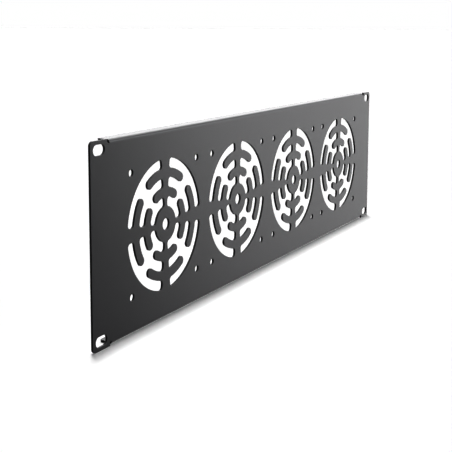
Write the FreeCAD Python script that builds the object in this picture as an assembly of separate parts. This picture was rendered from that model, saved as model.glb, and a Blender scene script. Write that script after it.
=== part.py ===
"""Rack fan panel: a 19-inch, three-unit sheet with four finger guards, two rack ears and two folded flanges.

X runs along the panel, Y from its front to its back and Z up. The origin is the middle of the four rack slots, on
the back of the sheet, which is the plane that meets the rack rails. All sizes are in millimetres.
"""
import FreeCAD, Part
import math
import os

# Sheet
SHEET_THICKNESS = 1.5
PANEL_WIDTH = 482.6
PANEL_HEIGHT = 132.5
EDGE_BREAK = 0.1

# Flanges folded back along the top and the bottom, a little inside the ears' edges
FLANGE_LENGTH = 443.5
FLANGE_DEPTH = 10.0
FLANGE_INSET = 0.4
FLANGE_CORNER = 2.0
BEND_INNER_RADIUS = 0.8
BEND_OUTER_RADIUS = BEND_INNER_RADIUS + SHEET_THICKNESS

# Notch that frees the end of each bend from the ear beside it
RELIEF_WIDTH = 2.0

# Rack ears
EAR_CORNER = 3.0
SLOT_SPACING_X = 465.1
SLOT_SPACING_Z = 120.65
SLOT_LENGTH = 12.0
SLOT_WIDTH = 7.0

# Fan positions
FAN_COUNT = 4
FAN_PITCH = 105.0
FAN_HOLE_SPACING = 82.5
FAN_HOLE_RADIUS = 2.5

# Finger guard: a hub, then slots and rings in turn out to the air opening
HUB_RADIUS = 12.4
HUB_HOLE_RADIUS = 4.25
GUARD_SLOT = 7.0
GUARD_RING = 6.3
INNER_RING_RADIUS = HUB_RADIUS + GUARD_SLOT
OUTER_RING_RADIUS = INNER_RING_RADIUS + GUARD_RING + GUARD_SLOT
AIR_RADIUS = OUTER_RING_RADIUS + GUARD_RING + GUARD_SLOT
SPOKE_COUNT = 4
SPOKE_HALF_ANGLE = 6.5
TONGUE_END_ANGLE = 37.8
SLOT_END_ROUND = 2.5

# The guard and the face meet along a straight-sided outline, so that the two edges lie on each other exactly
GUARD_SIDES = 24
GUARD_OUTLINE_RADIUS = 49.0

HALF_WIDTH = PANEL_WIDTH / 2
HALF_HEIGHT = PANEL_HEIGHT / 2
FLANGE_END = FLANGE_LENGTH / 2
FLANGE_TOP = HALF_HEIGHT - FLANGE_INSET
BEND_LINE = FLANGE_TOP - BEND_OUTER_RADIUS
FRONT = -SHEET_THICKNESS
FLANGE_BACK = FRONT + FLANGE_DEPTH
QUARTER = 360.0 / SPOKE_COUNT

CUT_MARGIN = 1.0
TOLERANCE = 1e-4
ANGLE_TOLERANCE = 0.01
THROUGH = FreeCAD.Vector(0, 1, 0)
ALONG = FreeCAD.Vector(1, 0, 0)
UP = FreeCAD.Vector(0, 0, 1)


def point(x, y, z):
    return FreeCAD.Vector(x, y, z)


def sheet_block(x_low, x_high, z_low, z_high, margin=0.0):
    """A rectangle of the sheet, or with a margin, a block that cuts right through it."""
    corner = point(x_low, FRONT - margin, z_low)
    return Part.makeBox(x_high - x_low, SHEET_THICKNESS + 2 * margin, z_high - z_low, corner)


def round_cutter(x, z, radius):
    """A cylinder that cuts a round hole through the sheet."""
    start = point(x, FRONT - CUT_MARGIN, z)
    return Part.makeCylinder(radius, SHEET_THICKNESS + 2 * CUT_MARGIN, start, THROUGH)


def on_plane(edge, y):
    """Whether an edge lies in the front or back plane of the sheet."""
    box = edge.BoundBox
    return abs(box.YMin - y) < TOLERANCE and abs(box.YMax - y) < TOLERANCE


def edges_broken(shape, is_seam):
    """Takes the sharpness off every front and back edge of a flat piece, apart from those beside its neighbours."""
    edges = [
        edge
        for edge in shape.Edges
        if (on_plane(edge, FRONT) or on_plane(edge, 0.0)) and not is_seam(edge)
    ]
    return shape.makeChamfer(EDGE_BREAK, edges)


def fan_centres():
    middle = (FAN_COUNT - 1) / 2
    return [(index - middle) * FAN_PITCH for index in range(FAN_COUNT)]


def fan_holes(x_centre):
    half = FAN_HOLE_SPACING / 2
    return [
        round_cutter(x_centre + x_side * half, z_side * half, FAN_HOLE_RADIUS)
        for x_side in (-1, 1)
        for z_side in (-1, 1)
    ]


def guard_outline(x_centre, margin=0.0):
    """The straight-sided plate, or cutter, that a finger guard fills."""
    step = 2 * math.pi / GUARD_SIDES
    corners = []
    for index in range(GUARD_SIDES + 1):
        angle = (index + 0.5) * step
        x = x_centre + GUARD_OUTLINE_RADIUS * math.cos(angle)
        corners.append(point(x, FRONT - margin, GUARD_OUTLINE_RADIUS * math.sin(angle)))
    face = Part.Face(Part.makePolygon(corners))
    return face.extrude(THROUGH * (SHEET_THICKNESS + 2 * margin))


def ring_sector(inner_radius, outer_radius, start_angle, end_angle):
    """Part of a flat ring about the Y axis, thick enough to cut the sheet, between two angles from +X towards +Z."""
    height = SHEET_THICKNESS + 2 * CUT_MARGIN
    origin = point(0, 0, 0)
    sweep = end_angle - start_angle
    outer = Part.makeCylinder(outer_radius, height, origin, UP, sweep)
    inner = Part.makeCylinder(inner_radius, height, origin, UP, sweep)
    sector = outer.cut(inner)
    sector.rotate(origin, UP, start_angle)
    sector.rotate(origin, ALONG, 90)
    sector.translate(THROUGH * CUT_MARGIN)
    return sector


def tongue(ring_radius, side):
    """A ring's arc from one spoke of a quarter to its round end near the diagonal; side is 0 or 1."""
    half = GUARD_RING / 2
    middle = ring_radius + half
    end_angle = TONGUE_END_ANGLE - math.degrees(half / middle)
    cap_angle = math.radians(end_angle if side == 0 else QUARTER - end_angle)
    cap = round_cutter(middle * math.cos(cap_angle), middle * math.sin(cap_angle), half)
    start = 0.0 if side == 0 else QUARTER - end_angle
    return ring_sector(ring_radius, ring_radius + GUARD_RING, start, start + end_angle).fuse(cap)


def quarter_opening():
    """The air opening between two spokes: three arc slots, joined along the diagonal between the tongues' ends."""
    opening = ring_sector(HUB_RADIUS, AIR_RADIUS, SPOKE_HALF_ANGLE, QUARTER - SPOKE_HALF_ANGLE)
    for ring_radius in (INNER_RING_RADIUS, OUTER_RING_RADIUS):
        for side in (0, 1):
            opening = opening.cut(tongue(ring_radius, side))
    opening = opening.removeSplitter()

    def at_slot_end(edge):
        box = edge.BoundBox
        if box.XLength > TOLERANCE or box.ZLength > TOLERANCE:
            return False
        angle = math.degrees(math.atan2(box.ZMin, box.XMin))
        off_spoke = min(abs(angle - SPOKE_HALF_ANGLE), abs(QUARTER - SPOKE_HALF_ANGLE - angle))
        return off_spoke < ANGLE_TOLERANCE

    return opening.makeFillet(SLOT_END_ROUND, [edge for edge in opening.Edges if at_slot_end(edge)])


def finger_guard(x_centre):
    guard = guard_outline(0.0).cut(round_cutter(0, 0, HUB_HOLE_RADIUS))
    opening = quarter_opening()
    for index in range(SPOKE_COUNT):
        turned = opening.copy()
        turned.rotate(point(0, 0, 0), THROUGH, index * QUARTER)
        guard = guard.cut(turned)

    def on_outline(edge):
        middle = edge.BoundBox.Center
        return math.hypot(middle.x, middle.z) > AIR_RADIUS

    guard = edges_broken(guard, on_outline)
    guard.translate(ALONG * x_centre)
    return guard


def face_panel():
    panel = sheet_block(-FLANGE_END, FLANGE_END, -BEND_LINE, BEND_LINE)
    for x_centre in fan_centres():
        panel = panel.cut(guard_outline(x_centre, CUT_MARGIN))
        for hole in fan_holes(x_centre):
            panel = panel.cut(hole)

    def is_straight(edge):
        return isinstance(edge.Curve, Part.Line)

    return edges_broken(panel, is_straight)


def rack_slot(x_centre, z_centre):
    half_run = (SLOT_LENGTH - SLOT_WIDTH) / 2
    half_width = SLOT_WIDTH / 2
    slot = sheet_block(
        x_centre - half_run, x_centre + half_run, z_centre - half_width, z_centre + half_width, CUT_MARGIN
    )
    for end in (-half_run, half_run):
        slot = slot.fuse(round_cutter(x_centre + end, z_centre, half_width))
    return slot.removeSplitter()


def bend_relief(z_side):
    """The notch between the right ear and the end of one bend, down to the bend's line."""
    z_ends = sorted((z_side * BEND_LINE, z_side * (HALF_HEIGHT + CUT_MARGIN)))
    return sheet_block(FLANGE_END - CUT_MARGIN, FLANGE_END + RELIEF_WIDTH, z_ends[0], z_ends[1], CUT_MARGIN)


def right_ear():
    ear = sheet_block(FLANGE_END, HALF_WIDTH, -HALF_HEIGHT, HALF_HEIGHT)
    corners = [
        edge
        for edge in ear.Edges
        if edge.BoundBox.YLength > TOLERANCE and edge.BoundBox.XMin > HALF_WIDTH - TOLERANCE
    ]
    ear = ear.makeFillet(EAR_CORNER, corners)
    for z_side in (-1, 1):
        ear = ear.cut(rack_slot(SLOT_SPACING_X / 2, z_side * SLOT_SPACING_Z / 2))
        ear = ear.cut(bend_relief(z_side))

    def beside_face(edge):
        return edge.BoundBox.XMax < FLANGE_END + TOLERANCE

    return edges_broken(ear, beside_face)


def top_flange():
    """The bend and the flat flange behind it, as one bent strip drawn in section and extruded along X."""
    bend_y = FRONT + BEND_OUTER_RADIUS
    slant = math.sqrt(0.5)

    def section_point(y, z):
        return point(-FLANGE_END, y, z)

    def bend_middle(radius):
        return section_point(bend_y - radius * slant, BEND_LINE + radius * slant)

    under = FLANGE_TOP - SHEET_THICKNESS
    outer_start = section_point(FRONT, BEND_LINE)
    outer_end = section_point(bend_y, FLANGE_TOP)
    back_top = section_point(FLANGE_BACK, FLANGE_TOP)
    back_under = section_point(FLANGE_BACK, under)
    inner_end = section_point(bend_y, under)
    inner_start = section_point(0.0, BEND_LINE)
    outline = Part.Wire(
        [
            Part.Arc(outer_start, bend_middle(BEND_OUTER_RADIUS), outer_end).toShape(),
            Part.makeLine(outer_end, back_top),
            Part.makeLine(back_top, back_under),
            Part.makeLine(back_under, inner_end),
            Part.Arc(inner_end, bend_middle(BEND_INNER_RADIUS), inner_start).toShape(),
            Part.makeLine(inner_start, outer_start),
        ]
    )
    flange = Part.Face(outline).extrude(ALONG * FLANGE_LENGTH)
    back_corners = [
        edge
        for edge in flange.Edges
        if edge.BoundBox.YMin > FLANGE_BACK - TOLERANCE and edge.BoundBox.XLength < TOLERANCE
    ]
    flange = flange.makeFillet(FLANGE_CORNER, back_corners)

    def is_free_edge(edge):
        box = edge.BoundBox
        on_bend_line = box.ZMax < BEND_LINE + TOLERANCE
        across_thickness = box.XLength < TOLERANCE and box.YLength < TOLERANCE
        along_bend = box.XLength > TOLERANCE and box.YMax < bend_y + TOLERANCE
        return not (on_bend_line or across_thickness or along_bend)

    return flange.makeChamfer(EDGE_BREAK, [edge for edge in flange.Edges if is_free_edge(edge)])


def main():
    os.makedirs("parts", exist_ok=True)
    parts = {"face_panel": face_panel()}
    for number, x_centre in enumerate(fan_centres(), start=1):
        parts[f"finger_guard_{number}"] = finger_guard(x_centre)
    ear = right_ear()
    flange = top_flange()
    middle = point(0, 0, 0)
    parts["right_rack_ear"] = ear
    parts["left_rack_ear"] = ear.mirror(middle, ALONG)
    parts["top_flange"] = flange
    parts["bottom_flange"] = flange.mirror(middle, UP)
    for name, shape in parts.items():
        shape.exportStep(f"parts/{name}.step")
        print(name, shape.ShapeType, len(shape.Solids), shape.isValid(), round(shape.Volume, 2))


main()
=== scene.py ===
"""Rack fan panel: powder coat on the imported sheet, on a pale studio floor."""

import math

import bpy
from mathutils import Matrix, Vector


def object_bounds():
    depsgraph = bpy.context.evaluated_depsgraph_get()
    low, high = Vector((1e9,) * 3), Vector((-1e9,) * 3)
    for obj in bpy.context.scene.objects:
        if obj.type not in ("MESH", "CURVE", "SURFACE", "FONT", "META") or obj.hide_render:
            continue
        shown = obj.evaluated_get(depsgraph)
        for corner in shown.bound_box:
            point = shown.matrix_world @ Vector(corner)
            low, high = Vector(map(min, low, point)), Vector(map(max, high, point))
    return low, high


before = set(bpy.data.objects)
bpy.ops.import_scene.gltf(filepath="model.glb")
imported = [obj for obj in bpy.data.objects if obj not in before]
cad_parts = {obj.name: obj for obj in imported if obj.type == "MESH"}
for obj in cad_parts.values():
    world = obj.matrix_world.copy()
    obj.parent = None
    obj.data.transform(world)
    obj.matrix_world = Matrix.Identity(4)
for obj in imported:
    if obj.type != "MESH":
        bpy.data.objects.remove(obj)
cad_low, cad_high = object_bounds()

MM = 0.001
WHITE = (1.0, 1.0, 1.0, 1.0)

# Camera: place in metres, turn from +Y towards +X, tilt above the horizon, roll about the view line
CAMERA_PLACE = Vector((-0.6786, -0.3365, 0.1365))
CAMERA_TURN = math.radians(61.073)
CAMERA_TILT = math.radians(-6.921)
CAMERA_ROLL = math.radians(0.153)
CAMERA_SENSOR = 36.0
CAMERA_LENS = 72.85
CAMERA_SHIFT_Y = -0.2

# Gamma that shows twice the light as twice the level, so that edges blend as they do in the photograph
DISPLAY_GAMMA = 1 / 2.2

# Floor and lamps, in metres and watts per square metre
FLOOR_HALF_SIZE = 40.0
FLOOR_COLOUR = (0.9, 0.9, 0.9, 1.0)
LAMP_DISTANCE = 300.0

# The overhead lamp throws the contact shadow. It leans from the vertical, and its turn is from +Y towards +X
OVERHEAD_STRENGTH = 2.305
OVERHEAD_LEAN = math.radians(3.75)
OVERHEAD_TURN = math.radians(50)
OVERHEAD_SPREAD_ALONG = math.radians(9.6)
OVERHEAD_SPREAD_ACROSS = math.radians(2.5)

# The fill lamp lights the face and lifts the shadow. Its turn is from -Y towards +X
FILL_STRENGTH = 2.37
FILL_HEIGHT = math.radians(32)
FILL_TURN = math.radians(10)
FILL_SPREAD = math.radians(40)

# The camera sees an even white room
ROOM_SEEN = 1.0

# Room light that only the gloss shows: a bright strip in front on the right, from a slanted edge to a fall at
# the side, growing with height. The rest is dim, and all of it fades out to the left and downwards.
# An axis has a turn from -Y towards +X and a tip above the horizon, and a pair says where a change begins and
# ends along its axis. The rise is along Z. The fall is along Y and leaves a share of the strip's light
ROOM_DIM = 1.40
ROOM_STRIP = 8.68
STRIP_EDGE_TURN = math.radians(150.6)
STRIP_EDGE_TIP = math.radians(12.1)
STRIP_EDGE = (-0.137, -0.096)
STRIP_RISE = (-2.50, 0.34)
STRIP_FALL = (-0.543, -0.400)
STRIP_SHARE_LEFT = 0.14
ROOM_FADE_TURN = math.radians(90)
ROOM_FADE_TIP = math.radians(60)
ROOM_FADE = (-0.55, 0.45)

# Soft glows added to it: turn and tip of the axis in degrees, where the glow begins and is full, strength
ROOM_GLOWS = [(-35, -10, (0.60, 0.95), 4.0),   # in front on the left
              (195, -10, (0.86, 0.97), 4.0),   # behind
              (145, -12, (0.90, 0.99), 3.0),   # behind on the right
              (-90, 25, (0.85, 0.97), 0.6),    # on the left
              (0, -90, (0.60, 0.95), 1.0),     # below
              (102, 38, (0.95, 0.99), 2.6),    # for the upper bend
              (101, -36, (0.92, 0.99), 1.3),   # for the lower bend
              (135, 12, (0.93, 0.99), 0.25)]   # for the near end of the top flange

# Powder coat: the two ends of its colour and roughness, and its clouds, orange peel and grain in metres
COAT_COLOUR_DEEP = (0.042, 0.042, 0.0445, 1.0)
COAT_COLOUR_PALE = (0.058, 0.058, 0.0615, 1.0)
COAT_ROUGHNESS = (0.28, 0.32)
CLOUD_SIZE = 60 * MM
CLOUD_DETAIL = 3
PEEL_SIZE = 1.1 * MM
PEEL_DETAIL = 2
PEEL_DEPTH = 0.015 * MM
GRAIN_SIZE = 0.3 * MM
GRAIN_DETAIL = 1
GRAIN_DEPTH = 0.006 * MM


class Graph:
    """Short ways to add and join the nodes of one material or world."""

    def __init__(self, owner):
        owner.use_nodes = True
        self.tree = owner.node_tree
        self.tree.nodes.clear()

    def add(self, kind, settings=(), **inputs):
        """A new node; an input is named with _ for each space, and takes a number, a colour or a socket."""
        node = self.tree.nodes.new(kind)
        for name, value in dict(settings).items():
            setattr(node, name, value)
        for name, value in inputs.items():
            self.put(node.inputs[name.replace("_", " ")], value)
        return node

    def put(self, socket, value):
        if isinstance(value, bpy.types.NodeSocket):
            self.tree.links.new(value, socket)
        else:
            socket.default_value = value


def noise(graph, size, detail):
    place = graph.add("ShaderNodeTexCoord").outputs["Object"]
    return graph.add("ShaderNodeTexNoise", Vector=place, Scale=1 / size, Detail=detail).outputs["Fac"]


def along(graph, ray, turn, tip):
    """How far a ray points along an axis that is turned from -Y towards +X and tipped up."""
    flat = math.cos(tip)
    dot = graph.add("ShaderNodeVectorMath", {"operation": "DOT_PRODUCT"})
    graph.put(dot.inputs[0], ray)
    graph.put(dot.inputs[1], (flat * math.sin(turn), -flat * math.cos(turn), math.sin(tip)))
    return dot.outputs["Value"]


def change(graph, value, ends=(0, 1), levels=(0, 1), course="SMOOTHSTEP"):
    """A change from one level to the other while the value goes from one end to the other."""
    node = graph.add("ShaderNodeMapRange", {"interpolation_type": course}, Value=value,
                     From_Min=ends[0], From_Max=ends[1], To_Min=levels[0], To_Max=levels[1])
    return node.outputs["Result"]


def joined(graph, operation, first, *others):
    """All the values multiplied or added."""
    for other in others:
        node = graph.add("ShaderNodeMath", {"operation": operation})
        graph.put(node.inputs[0], first)
        graph.put(node.inputs[1], other)
        first = node.outputs["Value"]
    return first


def powder_coat():
    """Satin black powder coat: faint clouds in colour and gloss, orange peel and a fine grain."""
    material = bpy.data.materials.new("powder_coat")
    graph = Graph(material)
    clouds = noise(graph, CLOUD_SIZE, CLOUD_DETAIL)
    colour = graph.add("ShaderNodeValToRGB", Fac=clouds)
    deep, pale = colour.color_ramp.elements
    deep.color = COAT_COLOUR_DEEP
    pale.color = COAT_COLOUR_PALE
    rough = change(graph, clouds, levels=COAT_ROUGHNESS, course="LINEAR")
    peel = graph.add("ShaderNodeBump", Height=noise(graph, PEEL_SIZE, PEEL_DETAIL), Distance=PEEL_DEPTH)
    grain = graph.add("ShaderNodeBump", Height=noise(graph, GRAIN_SIZE, GRAIN_DETAIL), Distance=GRAIN_DEPTH,
                      Normal=peel.outputs["Normal"])
    shader = graph.add("ShaderNodeBsdfPrincipled", Base_Color=colour.outputs["Color"], Roughness=rough,
                       Normal=grain.outputs["Normal"])
    graph.add("ShaderNodeOutputMaterial", Surface=shader.outputs["BSDF"])
    return material


def dress(nodes, material):
    for node in nodes.values():
        node.data.materials.clear()
        node.data.materials.append(material)


def added(name, data):
    """A new object in the scene."""
    thing = bpy.data.objects.new(name, data)
    bpy.context.scene.collection.objects.link(thing)
    return thing


def floor_paper():
    material = bpy.data.materials.new("floor_paper")
    graph = Graph(material)
    shader = graph.add("ShaderNodeBsdfDiffuse", Color=FLOOR_COLOUR)
    graph.add("ShaderNodeOutputMaterial", Surface=shader.outputs["BSDF"])
    return material


def floor():
    """A wide pale sheet under the panel, which the gloss doesn't show."""
    half = FLOOR_HALF_SIZE
    corners = [(-half, -half, 0), (half, -half, 0), (half, half, 0), (-half, half, 0)]
    mesh = bpy.data.meshes.new("floor")
    mesh.from_pydata(corners, [], [range(len(corners))])
    mesh.materials.append(floor_paper())
    plane = added("floor", mesh)
    plane.location.z = cad_low.z
    plane.visible_glossy = False


def room_level(graph):
    """The room light's strength in each direction."""
    ray = graph.add("ShaderNodeTexCoord").outputs["Generated"]
    part = graph.add("ShaderNodeSeparateXYZ", Vector=ray).outputs
    edge = change(graph, along(graph, ray, STRIP_EDGE_TURN, STRIP_EDGE_TIP), STRIP_EDGE)
    rise = change(graph, part["Z"], STRIP_RISE)
    fall = change(graph, part["Y"], STRIP_FALL, (1, STRIP_SHARE_LEFT))
    strip = joined(graph, "MULTIPLY", edge, rise, fall)
    bright = change(graph, strip, levels=(ROOM_DIM, ROOM_STRIP), course="LINEAR")
    fade = change(graph, along(graph, ray, ROOM_FADE_TURN, ROOM_FADE_TIP), ROOM_FADE)
    glows = [change(graph, along(graph, ray, math.radians(turn), math.radians(tip)), ends, (0, strength))
             for turn, tip, ends, strength in ROOM_GLOWS]
    return joined(graph, "ADD", joined(graph, "MULTIPLY", fade, bright), *glows)


def room():
    """White to the eye, bright and dim parts to the gloss, and no light at all on matt surfaces."""
    world = bpy.data.worlds.new("room")
    graph = Graph(world)
    lit = graph.add("ShaderNodeBackground", Color=WHITE, Strength=room_level(graph))
    seen = graph.add("ShaderNodeBackground", Color=WHITE, Strength=ROOM_SEEN)
    pick = graph.add("ShaderNodeMixShader", Fac=graph.add("ShaderNodeLightPath").outputs["Is Camera Ray"])
    graph.put(pick.inputs[1], lit.outputs["Background"])
    graph.put(pick.inputs[2], seen.outputs["Background"])
    graph.add("ShaderNodeOutputWorld", Surface=pick.outputs["Shader"])
    world.cycles_visibility.diffuse = False
    bpy.context.scene.world = world


def lamp(name, kind, rotation):
    """A far lamp that shines at the origin, rotated from shining straight down."""
    data = bpy.data.lights.new(name, kind)
    holder = added(name, data)
    holder.rotation_euler = rotation
    holder.location = holder.rotation_euler.to_matrix() @ Vector((0, 0, LAMP_DISTANCE))
    return data


def lamp_width(spread):
    """The width of a lamp that is seen from the origin under this angle."""
    return 2 * LAMP_DISTANCE * math.tan(spread / 2)


def lamps():
    overhead = lamp("overhead", "AREA", (-OVERHEAD_LEAN, 0, -OVERHEAD_TURN))
    overhead.shape = "RECTANGLE"
    overhead.size = lamp_width(OVERHEAD_SPREAD_ACROSS)
    overhead.size_y = lamp_width(OVERHEAD_SPREAD_ALONG)
    overhead.energy = OVERHEAD_STRENGTH * math.pi * LAMP_DISTANCE ** 2
    fill = lamp("fill", "SUN", (math.pi / 2 - FILL_HEIGHT, 0, FILL_TURN))
    fill.energy = FILL_STRENGTH
    fill.angle = FILL_SPREAD
    fill.use_shadow = False


def camera():
    data = bpy.data.cameras.new("camera")
    data.sensor_width = CAMERA_SENSOR
    data.lens = CAMERA_LENS
    data.shift_y = CAMERA_SHIFT_Y
    turn = Matrix.Rotation(-CAMERA_TURN, 4, "Z")
    tilt = Matrix.Rotation(math.pi / 2 + CAMERA_TILT, 4, "X")
    roll = Matrix.Rotation(CAMERA_ROLL, 4, "Z")
    holder = added("camera", data)
    holder.matrix_world = Matrix.Translation(CAMERA_PLACE) @ turn @ tilt @ roll
    bpy.context.scene.camera = holder


def display():
    settings = bpy.context.scene.view_settings
    settings.view_transform = "Standard"
    settings.gamma = DISPLAY_GAMMA


dress(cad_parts, powder_coat())
floor()
room()
lamps()
camera()
display()
